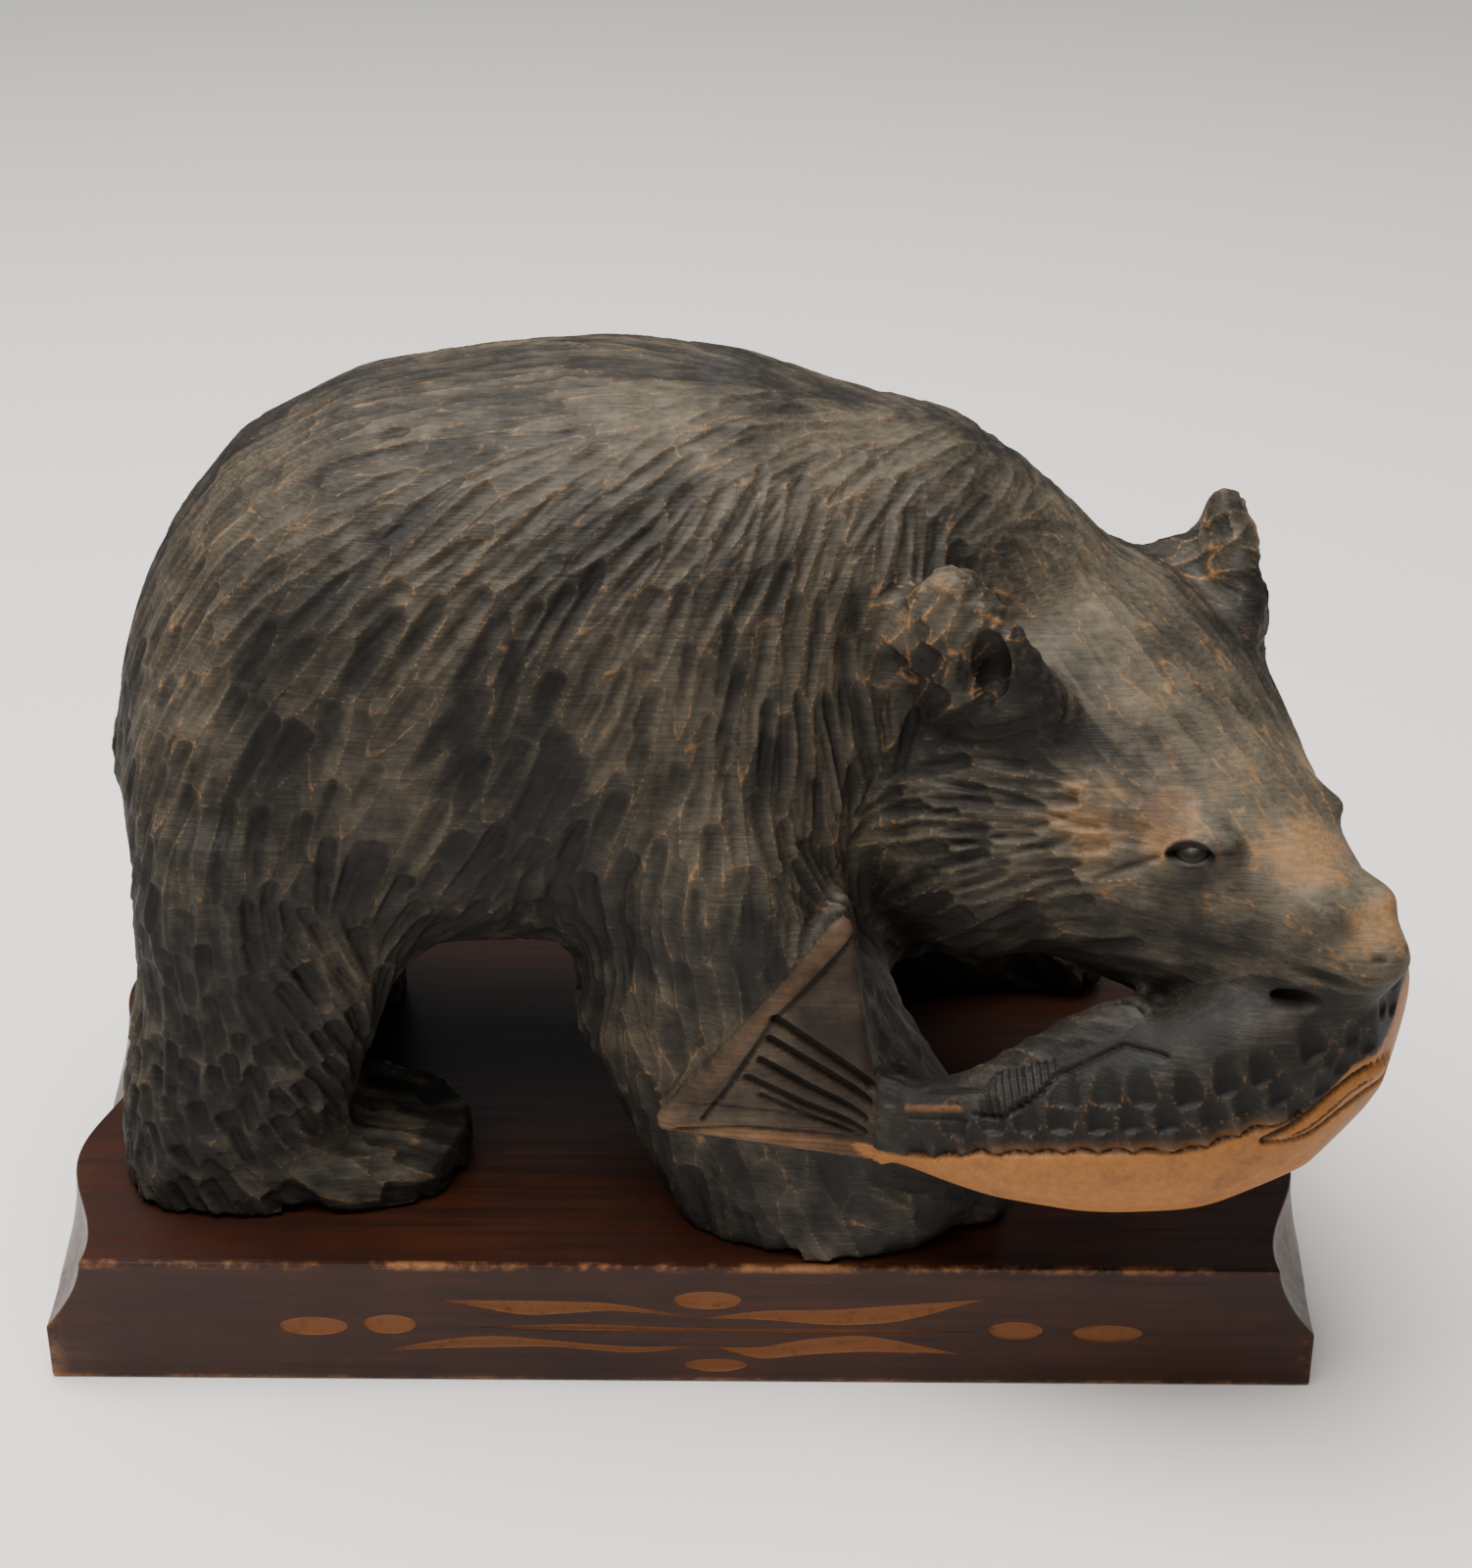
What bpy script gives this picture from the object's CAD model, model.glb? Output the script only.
"""Carved wooden bear with a salmon in its jaws, on its stained plinth.

Lengths are metres unless a comment says otherwise. Places on the carving are given in bear units
of 10 mm in the frame's own axes, or in the turned head's axes: forward, side and height.
"""

import math

import bpy
import numpy as np
from bpy.props import FloatProperty, FloatVectorProperty, IntProperty, PointerProperty
from mathutils import Matrix, Vector


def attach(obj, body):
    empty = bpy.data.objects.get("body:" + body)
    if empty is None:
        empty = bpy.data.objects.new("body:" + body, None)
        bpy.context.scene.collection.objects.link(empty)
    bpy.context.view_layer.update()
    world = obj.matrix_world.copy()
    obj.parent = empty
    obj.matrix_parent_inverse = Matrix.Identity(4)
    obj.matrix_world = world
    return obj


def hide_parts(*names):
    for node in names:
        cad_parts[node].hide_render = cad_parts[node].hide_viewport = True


bl_info = {
    "name": "Carved Bear",
    "version": (1, 0, 0),
    "blender": (4, 5, 0),
    "location": "View3D > Sidebar > Carved Bear",
    "description": "Gouge-cut bear with a salmon on a chip-carved plinth",
    "category": "Add Mesh",
}

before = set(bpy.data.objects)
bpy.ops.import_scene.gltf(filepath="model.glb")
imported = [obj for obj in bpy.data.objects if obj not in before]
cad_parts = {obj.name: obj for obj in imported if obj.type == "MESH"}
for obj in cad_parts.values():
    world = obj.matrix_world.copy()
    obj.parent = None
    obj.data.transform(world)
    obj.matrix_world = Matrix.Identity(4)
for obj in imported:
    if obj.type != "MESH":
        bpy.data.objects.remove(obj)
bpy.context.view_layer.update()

UNIT = 0.010
MM = 0.001
SKIN = "bear_with_salmon"
BOARD = "plinth"

BLOCKS = ("bear_rump", "bear_loin", "bear_withers", "bear_head", "bear_muzzle_and_salmon")

# Gouge strokes: places tried and most strokes kept, then the fine strokes' tries and their
# length, width and depth as shares of the broad ones
STROKE_TRIES = 26000
MOST_STROKES = 14000
FINE_TRIES = 60000
FINE_SHARE = (0.74, 0.44, 0.40)
FINE_ROOM = 0.5

# Turned head, in bear units
HEAD_TURN = math.radians(-50)
HEAD_MIDDLE = (9.5, -2.0)
HEAD_ROLL = 0.10

# Fur on the near side, mirrored to the far side: place, lie of the hair, then the gouge
# marks' length, width and depth in millimetres
BODY_FUR = (
    (-12.8, -1.0, 17.0, -0.2, 0, -1, 26, 5, 0.52),
    (-11.0, -1.5, 19.6, -0.7, -0.1, -0.7, 26, 4.8, 0.46),
    (-8.0, -1.8, 21.8, -1, -0.1, -0.2, 28, 4.5, 0.44),
    (-4.5, -1.8, 22.6, -1, -0.1, 0, 28, 4.2, 0.40),
    (-1.5, -1.6, 22.8, -1, -0.2, 0, 28, 4.1, 0.36),
    (0.5, -2.8, 22.2, -0.8, -0.5, -0.3, 26, 4.2, 0.36),
    (2.4, -1.6, 22.1, -0.8, -0.4, -0.2, 24, 4.0, 0.32),
    (5.0, -1.6, 21.4, -0.7, -0.6, -0.4, 26, 3.8, 0.30),
    (7.5, -1.5, 20.0, -0.5, -0.7, -0.4, 26, 3.8, 0.30),
    (-12.6, -3.5, 15.0, -0.1, 0, -1, 20, 5.6, 0.60),
    (-11.0, -5.0, 17.5, -0.5, 0, -0.9, 22, 5.4, 0.60),
    (-9.0, -5.0, 19.5, -0.7, -0.1, -0.7, 30, 5.6, 0.57),
    (-5.5, -4.8, 20.8, -0.75, -0.3, -0.6, 30, 5.3, 0.57),
    (-2.0, -4.8, 21.0, -0.75, -0.3, -0.5, 28, 5, 0.57),
    (1.0, -5.0, 20.5, -0.5, -0.3, -0.85, 28, 4.8, 0.52),
    (3.2, -4.4, 20.3, -0.5, -0.3, -0.8, 28, 4.2, 0.46),
    (5.4, -4.0, 19.2, -0.25, -0.2, -1, 28, 4.0, 0.50),
    (-9.5, -6.2, 16.0, -0.45, 0, -0.9, 24, 6.6, 0.80),
    (-6.0, -6.3, 17.5, -0.55, 0, -0.82, 27, 6.3, 0.80),
    (-2.5, -6.3, 18.0, -0.48, -0.1, -0.85, 27, 6.1, 0.80),
    (0.5, -6.4, 17.0, -0.22, 0, -1, 26, 5.4, 0.70),
    (2.8, -6.0, 17.0, -0.15, 0, -1, 34, 5, 0.75),
    (4.2, -5.0, 15.5, 0.15, 0, -1, 34, 4.5, 0.75),
    (-11.5, -6.0, 13.0, -0.1, 0, -1, 27, 6.3, 0.80),
    (-8.5, -6.2, 13.5, -0.25, 0, -0.95, 27, 7.1, 0.90),
    (-5.0, -6.2, 14.5, -0.55, 0, -0.85, 30, 7.6, 1.00),
    (-2.0, -6.3, 14.0, -0.45, 0, -0.9, 30, 7.3, 0.95),
    (1.0, -6.5, 13.0, 0, 0, -1, 30, 6.6, 0.70),
    (3.5, -5.6, 12.0, 0.15, 0, -1, 27, 5.4, 0.60),
    (-5.5, -5.6, 10.8, -0.5, 0, -0.85, 27, 6.8, 0.90),
    (-2.5, -5.8, 10.5, 0, 0, -1, 28, 6.8, 0.70),
    (0.5, -6.6, 9.0, 0.25, 0, -1, 33, 7.9, 0.50),
    (3.0, -7.0, 8.0, 0.4, 0, -0.9, 33, 8.5, 0.50),
    (2.0, -7.2, 5.8, 0.35, 0, -0.9, 27, 9.2, 0.55),
    (6.5, -6.6, 4.4, 0.9, 0, -0.3, 24, 9.8, 0.55),
    (-12.6, -4.5, 10.0, 0, 0, -1, 18, 6.3, 0.80),
    (-10.5, -6.1, 10.0, 0.05, 0, -1, 19, 6.2, 1.0),
    (-8.0, -5.9, 9.8, 0.5, 0, -0.9, 20, 6.0, 1.15),
    (-12.8, -4.8, 7.0, -0.05, 0, -1, 11, 5.6, 1.05),
    (-10.5, -6.1, 7.0, 0.1, 0, -1, 12, 5.8, 1.10),
    (-8.0, -5.8, 6.8, 0.6, 0, -0.8, 15, 5.2, 1.05),
    (-11.5, -6.2, 4.9, 0.5, 0, -0.8, 12, 6.0, 0.85),
    (-7.0, -5.6, 4.6, 1, 0, -0.2, 20, 8.9, 0.50),
    (-5.5, -2.5, 8.6, -1, 0, 0, 27, 7.3, 0.60),
    (-1.0, -2.5, 8.8, -1, 0, 0, 27, 7.3, 0.60),
    (-13.2, -2.5, 12.5, 0, 0, -1, 21, 6.1, 0.70),
    (-11.0, -2.2, 6.0, 0, 0, -1, 20, 6.3, 0.60),
    (2.5, -2.8, 6.5, 0.3, 0, -1, 27, 7.9, 0.55),
    (5.5, -3.5, 11.0, 0.2, 0, -1, 24, 6.1, 0.60),
)
# The same on the head: forward, side and height
HEAD_FUR = (
    (-2.8, -4.6, 14.5, -0.8, 0, -0.75, 19, 5.0, 0.95),
    (-1.2, -5.6, 13.6, -1, 0, -0.50, 19, 4.6, 1.0),
    (0.8, -5.4, 13.2, -1, 0, -0.42, 18, 4.3, 1.0),
    (2.2, -4.6, 14.4, -1, 0.1, -0.30, 16, 4, 0.90),
    (3.2, -4.2, 12.8, -1, -0.2, -0.42, 16, 4.2, 0.80),
    (0.6, -4.8, 15.6, -1, 0.1, -0.28, 18, 4, 0.60),
    (-0.5, -4.8, 11.0, -0.9, 0, -0.5, 22, 6.3, 0.55),
    (-3.0, -4.4, 12.0, -0.6, 0, -0.8, 21, 5.8, 0.70),
    (2.4, -3.8, 10.8, -1, 0, -0.40, 24, 6.3, 0.35),
    (4.6, -2.9, 12.6, -1, -0.2, -0.25, 19, 5.4, 0.16),
    (6.6, -2.0, 12.4, -1, -0.2, 0.1, 19, 4.8, 0.10),
    (5.4, -2.4, 10.8, -1, -0.1, 0, 22, 6, 0.20),
    (8.2, -1.2, 12.8, -1, 0, 0.2, 14, 4.8, 0.08),
    (7.6, 0.0, 14.0, -1, 0, 0.3, 16, 5.4, 0.08),
    (5.2, -0.8, 15.4, -1, 0, 0.4, 21, 5.4, 0.09),
    (3.0, -1.4, 16.7, -1, 0, 0.4, 22, 4.8, 0.12),
    (0.8, -1.4, 18.0, -1, 0.1, 0.3, 22, 4.3, 0.18),
    (-1.6, -1.5, 18.6, -1, 0.1, 0.1, 21, 4.1, 0.25),
    (2.2, -3.2, 16.2, -1, 0.1, 0.2, 18, 3.8, 0.35),
    (-0.6, -4.9, 17.2, -0.4, 0, -0.9, 9, 8, 0.62),
    (-0.8, -4.7, 18.4, -0.4, 0, -0.9, 9, 8, 0.62),
    (-1.2, -4.2, 17.6, -0.5, 0, -0.9, 9, 8, 0.60),
)

# Salmon: point on its middle line, half thickness, half depth, and the height of the line
# between its dark back and its pale belly as a share of that half depth
SALMON = (
    ((4.0, -7.2, 7.6), 0.6, 1.0, -0.60),
    ((5.3, -7.7, 7.4), 0.8, 1.05, -0.36),
    ((7.0, -8.2, 7.5), 1.2, 1.5, 0.17),
    ((9.0, -8.5, 7.8), 1.5, 2.0, 0.22),
    ((11.0, -8.6, 8.3), 1.7, 2.4, 0.08),
    ((12.9, -8.3, 9.1), 1.75, 2.5, 0.00),
    ((14.3, -7.6, 9.9), 1.7, 2.35, 0.15),
    ((14.9, -6.3, 10.4), 1.6, 2.1, 0.35),
    ((14.8, -4.7, 10.5), 1.4, 1.8, 0.35),
    ((14.0, -3.0, 10.2), 1.2, 1.5, 0.35),
    ((12.6, -1.8, 9.6), 0.8, 1.0, 0.35),
)
FAN = ((4.5, 6.4), (4.5, 8.5), (3.9, 12.6), (3.5, 12.5), (-0.5, 7.5), (-0.3, 7.1))
FAN_RIM = ((-0.4, 7.3), (0.8, 8.6), (2.0, 10.2), (3.0, 11.5), (3.9, 12.6))
FAN_CUTS = (
    # path in the fan's plane, width and depth in millimetres, how dark it is
    (((2.2, 10.2), (3.3, 9.35), (4.4, 8.5)), 2.6, 1.1, 0.9),
    (((2.1, 9.65), (3.2, 8.9), (4.3, 8.15)), 2.6, 1.1, 0.9),
    (((1.9, 9.1), (3.0, 8.4), (4.2, 7.75)), 2.5, 1.0, 0.9),
    (((1.6, 8.65), (2.9, 7.95), (4.2, 7.4)), 2.4, 0.9, 0.8),
    (((1.9, 8.2), (3.0, 7.65), (4.1, 7.2)), 1.8, 0.6, 0.7),
    (((0.6, 7.55), (1.2, 8.4), (2.15, 10.1), (3.2, 11.3), (4.0, 12.3)), 1.8, 0.6, 0.8),
    (((-0.2, 7.25), (1.5, 7.35), (4.2, 7.1)), 1.5, 0.4, 0.6),
    (((0.3, 8.0), (2.4, 7.75), (4.2, 7.25)), 1.3, 0.3, 0.4),
)

# Lines on the salmon: path by its run and its angle above the side, width and depth in
# millimetres, darkness and bareness
SALMON_LINES = (
    (((3.1, 46), (3.7, 42), (4.6, 57), (4.95, 70), (6.7, 76), (7.6, 61)), 2.0, 0.6, 0.8, 0.0),
    (((1.9, 75), (3.3, 70), (3.9, 90), (4.9, 93)), 2.0, 0.5, 0.7, 0.0),
    (((1.45, 49), (2.7, 51)), 2.4, -0.3, 0.0, 0.4),
    (((1.6, 36), (2.9, 40)), 1.6, 0.35, 0.6, 0.0),
    (((8.9, -6), (9.9, 1), (11.05, 2)), 2.2, 0.8, 0.9, 0.0),
    (((8.9, -8), (9.5, -14), (10.6, -17), (11.2, -14)), 2.0, 0.6, 0.8, 0.0),
    (((9.2, -7), (10.0, -7), (11.1, -5)), 5.0, -0.5, 0.0, 0.5),
    (((9.3, -8), (10.0, -8), (10.9, -7)), 1.4, 0.7, 0.9, 0.0),
)
SCALE_ROWS = (
    # lift above the belly line in units, stagger, first and last run, width, height, depth
    (0.34, 0.0, 1.7, 9.5, 7.0, 9.0, 1.0),
    (0.98, 0.5, 2.2, 9.8, 7.4, 9.4, 1.0),
    (1.62, 0.0, 4.9, 10.0, 8.0, 9.6, 1.0),
    (0.50, 0.0, 9.9, 11.6, 5.2, 6.0, 0.5),
    (0.95, 0.5, 9.9, 11.6, 5.2, 6.0, 0.5),
)

# Face, in the head's axes and mirrored: eye, then cuts with width and depth in millimetres
# and darkness, then round dents with length, width and depth
EYE = (5.18, 2.15, 14.08)
FACE_CUTS = (
    ("cheek", ((-1.7, -4.7, 16.8), (-2.5, -5.0, 15.2), (-2.9, -5.0, 13.6), (-2.8, -4.9, 12.2),
               (-2.1, -4.4, 10.9)), 11.0, 2.2, 0.75),
    ("jaw", ((4.6, -3.5, 10.5), (6.1, -3.2, 10.6), (7.8, -2.3, 10.8), (8.3, -1.5, 11.0),
             (8.9, -0.3, 11.1)), 3.6, 1.0, 0.95),
    ("lip", ((7.2, -2.1, 11.7), (8.0, -1.6, 11.9), (8.8, -1.0, 12.1), (9.6, -0.2, 12.2)),
     2.2, 0.7, 0.9),
    ("whisker", ((7.6, -2.0, 11.35), (8.4, -1.4, 11.55), (9.2, -0.5, 11.7)), 1.3, 0.4, 0.6),
    ("whisker", ((7.7, -2.0, 11.15), (8.5, -1.3, 11.35), (9.1, -0.5, 11.5)), 1.3, 0.4, 0.6),
    ("whisker", ((7.9, -1.9, 10.95), (8.6, -1.2, 11.15), (9.0, -0.5, 11.3)), 1.3, 0.4, 0.6),
    ("crease", ((4.6, -2.6, 13.9), (4.2, -3.0, 13.6), (3.6, -3.4, 13.1)), 3.0, 0.5, 0.5),
)
FACE_DENTS = (
    ((0.85, -3.80, 17.2), (0.1, 0.25, -1.0), 24.0, 13.0, 3.0, 1.0),
    ((8.30, -1.30, 12.2), (0.85, 0.5, -0.1), 26.0, 5.0, 1.2, 0.95),
    ((5.10, -2.50, 13.45), (0.8, 0.6, 0.1), 12.0, 6.0, 0.5, 0.15),
    ((9.25, -0.45, 12.9), (0.6, 0.6, 0.1), 5.0, 3.2, 0.6, 0.6),
)

# Where handling has rubbed the stain: place in the head's or the bear's axes, reach, strength
HEAD_RUBS = (
    (8.8, 0.3, 13.4, 1.2, 0.95), (6.8, -0.4, 14.4, 1.6, 1.00), (4.5, -2.3, 14.7, 1.2, 1.10),
    (4.6, -0.4, 15.8, 1.8, 0.62), (2.6, -0.8, 16.9, 2.0, 0.50), (0.4, -1.0, 18.2, 2.2, 0.50),
    (3.3, -3.4, 14.3, 1.5, 1.00), (2.0, -4.4, 13.4, 2.2, 0.50), (6.3, -2.0, 13.4, 0.7, 0.60),
    (-0.3, -4.4, 18.9, 0.7, 1.10), (-1.1, -5.2, 18.0, 0.9, 0.60), (0.0, 4.5, 18.6, 1.2, 0.8),
    (-1.6, 0.0, 18.8, 2.2, 0.50), (0.6, -5.4, 13.6, 1.8, 0.48), (-0.6, -5.4, 12.6, 1.6, 0.35),
)
BODY_RUBS = (
    (-5.0, -3.0, 22.0, 3.5, 0.36), (0.0, -3.0, 22.4, 3.0, 0.40), (-9.5, -3.0, 20.2, 3.0, 0.42),
    (4.0, -3.0, 21.4, 3.4, 0.46), (-5.0, -6.0, 18.5, 3.4, 0.45), (-1.0, -6.2, 17.5, 3.4, 0.48),
    (-11.5, -4.5, 17.0, 3.0, 0.52), (-5.5, -6.2, 14.0, 3.0, 0.40), (1.0, -6.4, 13.5, 3.4, 0.42),
    (3.0, -5.8, 17.0, 2.6, 0.38), (0.8, -6.8, 9.0, 3.0, 0.36), (-10.5, -6.2, 13.5, 3.0, 0.34),
    (-12.6, -4.8, 8.0, 2.6, 0.34), (-9.5, -6.2, 6.4, 2.4, 0.30), (-7.4, -5.8, 10.0, 1.8, 0.36),
)

# Chip carving on the plinth's front face, in millimetres from its lower middle
CHIP_OVALS = (
    # x, z, half length, half height
    (-85.8, 15.9, 8.1, 2.7),
    (-67.8, 16.6, 6.2, 2.8),
    (6.8, 24.3, 8.0, 2.6),
    (8.6, 4.9, 7.5, 1.9),
    (78.9, 15.9, 6.5, 2.6),
    (100.5, 15.2, 8.3, 2.5),
)
CHIP_LEAVES = (
    # x, low edge, high edge of each station from tip to tip
    ((-56.4, 23.8, 23.8), (-35.8, 19.3, 23.9), (-16.1, 21.2, 23.5), (3.6, 19.2, 19.2)),
    ((5.6, 18.8, 18.8), (18.7, 18.9, 21.5), (36.6, 17.0, 21.7), (51.0, 18.0, 23.2),
     (71.7, 25.1, 25.1)),
    ((-47.3, 15.9, 15.9), (-24.7, 14.7, 17.3), (3.6, 14.9, 15.9), (38.0, 14.6, 16.0),
     (72.7, 15.5, 15.5)),
    ((-70.1, 8.4, 8.4), (-56.0, 9.4, 12.3), (-42.8, 9.8, 13.6), (-29.5, 10.2, 12.0),
     (-11.0, 8.0, 10.1), (5.9, 10.7, 10.7)),
    ((8.6, 10.4, 10.4), (18.7, 6.5, 10.1), (30.0, 8.4, 13.1), (43.6, 9.4, 14.4),
     (51.2, 9.2, 12.7), (66.3, 8.7, 8.7)),
)

# Camera, from the plinth's edges in the photograph
CAMERA_PLACE = (0.0219, -0.6735, 0.5043)
CAMERA_DOWN = math.radians(29.82)
CAMERA_YAW = math.radians(-0.79)
CAMERA_ROLL = math.radians(-0.11)
FOCAL_PIXELS = 3302.0
IMAGE_HEIGHT = 1600.0


class CarvingSettings(bpy.types.PropertyGroup):
    """Sizes and stains of the carved bear"""

    grid: FloatProperty(
        name="Carving Grid", description="Spacing of the skin's points before it is carved",
        default=0.00055, min=0.0004, max=0.003, unit="LENGTH")
    gouge: FloatProperty(
        name="Gouge Depth", description="Depth of every gouge mark against the table's",
        default=1.65, min=0.0, max=2.0, subtype="FACTOR")
    seed: IntProperty(
        name="Seed", description="Start of the random order in which the marks are cut",
        default=11)
    budget: IntProperty(
        name="Faces", description="Triangles kept on the carving, shared by its blocks",
        default=900000, min=50000, max=960000)


class CarvingStains(bpy.types.PropertyGroup):
    """Colours of the bear's stains and bare wood"""

    dark: FloatVectorProperty(
        name="Dark Stain", description="Brown-black stain in the fur", subtype="COLOR",
        size=4, default=(0.0095, 0.0080, 0.0062, 1.0), min=0.0, max=1.0)
    grey: FloatVectorProperty(
        name="Rubbed Stain", description="Grey-brown stain where handling has thinned it",
        subtype="COLOR", size=4, default=(0.076, 0.062, 0.042, 1.0), min=0.0, max=1.0)
    ochre: FloatVectorProperty(
        name="Bare Ridge", description="Bare wood on rubbed ridges", subtype="COLOR",
        size=4, default=(0.205, 0.108, 0.043, 1.0), min=0.0, max=1.0)
    belly: FloatVectorProperty(
        name="Salmon Belly", description="Oiled bare wood of the salmon's belly",
        subtype="COLOR", size=4, default=(0.33, 0.130, 0.028, 1.0), min=0.0, max=1.0)


class PlinthSettings(bpy.types.PropertyGroup):
    """Sizes and stain of the plinth"""

    length: FloatProperty(
        name="Length", description="Length of the board", default=0.300, unit="LENGTH")
    depth: FloatProperty(
        name="Depth", description="Depth of the board", default=0.157, unit="LENGTH")
    height: FloatProperty(
        name="Height", description="Thickness of the board", default=0.034, unit="LENGTH")
    band: FloatProperty(
        name="Band", description="Height of the straight band under the coved ends",
        default=0.0148, unit="LENGTH")
    chip: FloatProperty(
        name="Chip Depth", description="Depth of the chip carving", default=0.0009,
        unit="LENGTH")
    stain: FloatVectorProperty(
        name="Mahogany Stain", description="Dark red-brown stain of the board",
        subtype="COLOR", size=4, default=(0.024, 0.0070, 0.0034, 1.0), min=0.0, max=1.0)
    bare: FloatVectorProperty(
        name="Cut Wood", description="Pale wood in the chip carving", subtype="COLOR",
        size=4, default=(0.15, 0.054, 0.014, 1.0), min=0.0, max=1.0)


def deselect_all():
    if bpy.context.object and bpy.context.object.mode != "OBJECT":
        bpy.ops.object.mode_set(mode="OBJECT")
    bpy.ops.object.select_all(action="DESELECT")


def select_only(thing):
    deselect_all()
    thing.select_set(True)
    bpy.context.view_layer.objects.active = thing


def apply_modifier(thing, kind, **values):
    select_only(thing)
    bpy.ops.object.modifier_add(type=kind)
    modifier = thing.modifiers[-1]
    for key, value in values.items():
        setattr(modifier, key, value)
    bpy.ops.object.modifier_apply(modifier=modifier.name)


def unit_rows(rows):
    return rows / np.maximum(np.linalg.norm(rows, axis=-1, keepdims=True), 1e-9)


def smooth_step(value, low, high):
    t = np.clip((value - low) / (high - low), 0.0, 1.0)
    return t * t * (3 - 2 * t)


# Frames of the head and the salmon

def to_head(points):
    """Bear units to the head's own forward, side and height."""
    c, s = math.cos(HEAD_TURN), math.sin(HEAD_TURN)
    x, y = points[:, 0] - HEAD_MIDDLE[0], points[:, 1] - HEAD_MIDDLE[1]
    side = -s * x + c * y
    return np.stack([c * x + s * y, side, points[:, 2] + HEAD_ROLL * side], axis=1)


def head_direction(rows):
    c, s = math.cos(HEAD_TURN), math.sin(HEAD_TURN)
    return np.stack([c * rows[:, 0] - s * rows[:, 1], s * rows[:, 0] + c * rows[:, 1],
                     rows[:, 2] - HEAD_ROLL * rows[:, 1]], axis=1)


def from_head(rows):
    c, s = math.cos(HEAD_TURN), math.sin(HEAD_TURN)
    return np.stack([HEAD_MIDDLE[0] + c * rows[:, 0] - s * rows[:, 1],
                     HEAD_MIDDLE[1] + s * rows[:, 0] + c * rows[:, 1],
                     rows[:, 2] - HEAD_ROLL * rows[:, 1]], axis=1)


def salmon_path(count=240):
    """Even samples of the salmon's middle line: place, length along it, sizes and belly line."""
    places = np.array([row[0] for row in SALMON])
    others = np.array([row[1:] for row in SALMON])
    run = np.concatenate([[0], np.cumsum(np.linalg.norm(np.diff(places, axis=0), axis=1))])
    even = np.linspace(0, run[-1], count)
    place = np.stack([np.interp(even, run, places[:, k]) for k in range(3)], axis=1)
    other = np.stack([np.interp(even, run, others[:, k]) for k in range(3)], axis=1)
    for _ in range(12):
        place[1:-1] = (place[:-2] + 2 * place[1:-1] + place[2:]) / 4
    along = unit_rows(np.gradient(place, axis=0))
    side = unit_rows(np.cross(along, np.array([0.0, 0.0, 1.0])))
    return place, even, other, along, side


def salmon_place(points):
    """Run along the salmon, height and outward share on its section, its size and belly line."""
    place, even, other, along, side = salmon_path()
    nearest = np.zeros(len(points), dtype=int)
    best = np.full(len(points), 1e9)
    flat = np.array([1.0, 1.0, 0.5])
    for k in range(len(place)):
        gap = (((points - place[k]) * flat) ** 2).sum(axis=1)
        closer = gap < best
        best[closer] = gap[closer]
        nearest[closer] = k
    offset = points - place[nearest]
    out = (offset * side[nearest]).sum(axis=1) / other[nearest, 0]
    high = offset[:, 2] / other[nearest, 1]
    past = (offset * along[nearest]).sum(axis=1)
    return even[nearest] + past, high, out, other[nearest, 1], other[nearest, 2]


# Fur marks

def fur_guides():
    rows = []
    for x, y, z, dx, dy, dz, *mark in BODY_FUR:
        for side in (1, -1):
            rows.append([x, y * side, z, dx, dy * side, dz] + mark)
    table = np.array(rows, dtype=float)
    rows = []
    for x, y, z, dx, dy, dz, *mark in HEAD_FUR:
        for side in (1, -1):
            rows.append([x, y * side, z, dx, dy * side, dz] + mark)
    head = np.array(rows, dtype=float)
    head[:, 3:6] = head_direction(head[:, 3:6])
    head[:, :3] = from_head(head[:, :3])
    return np.concatenate([table, head])


def fur_field(points, normals):
    """Lie of the hair and size of the gouge marks at each point."""
    guides = fur_guides()
    lie = np.zeros_like(points)
    mark = np.zeros((len(points), 3))
    total = np.zeros(len(points))
    for row in guides:
        gap = ((points - row[:3]) ** 2).sum(axis=1)
        weight = 1.0 / (gap + 0.15) ** 2.2
        lie += weight[:, None] * (row[3:6] / np.linalg.norm(row[3:6]))
        mark += weight[:, None] * row[6:9]
        total += weight
    mark /= total[:, None]
    lie -= (lie * normals).sum(axis=1)[:, None] * normals
    return unit_rows(lie), mark


class PointGrid:
    """Finds the skin's points near a place."""

    def __init__(self, points, cell=0.8):
        self.points, self.cell = points, cell
        keys = np.floor(points / cell).astype(np.int64) + 64
        code = keys[:, 0] * 16384 + keys[:, 1] * 128 + keys[:, 2]
        self.order = np.argsort(code, kind="stable")
        self.code = code[self.order]

    def near(self, place, reach):
        low = np.floor((place - reach) / self.cell).astype(int) + 64
        high = np.floor((place + reach) / self.cell).astype(int) + 64
        base = (np.arange(low[0], high[0] + 1)[:, None] * 16384
                + np.arange(low[1], high[1] + 1)[None, :] * 128).ravel()
        first = np.searchsorted(self.code, base + low[2], side="left")
        last = np.searchsorted(self.code, base + high[2], side="right")
        runs = [self.order[a:b] for a, b in zip(first, last) if b > a]
        return np.concatenate(runs) if runs else np.zeros(0, dtype=int)


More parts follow.
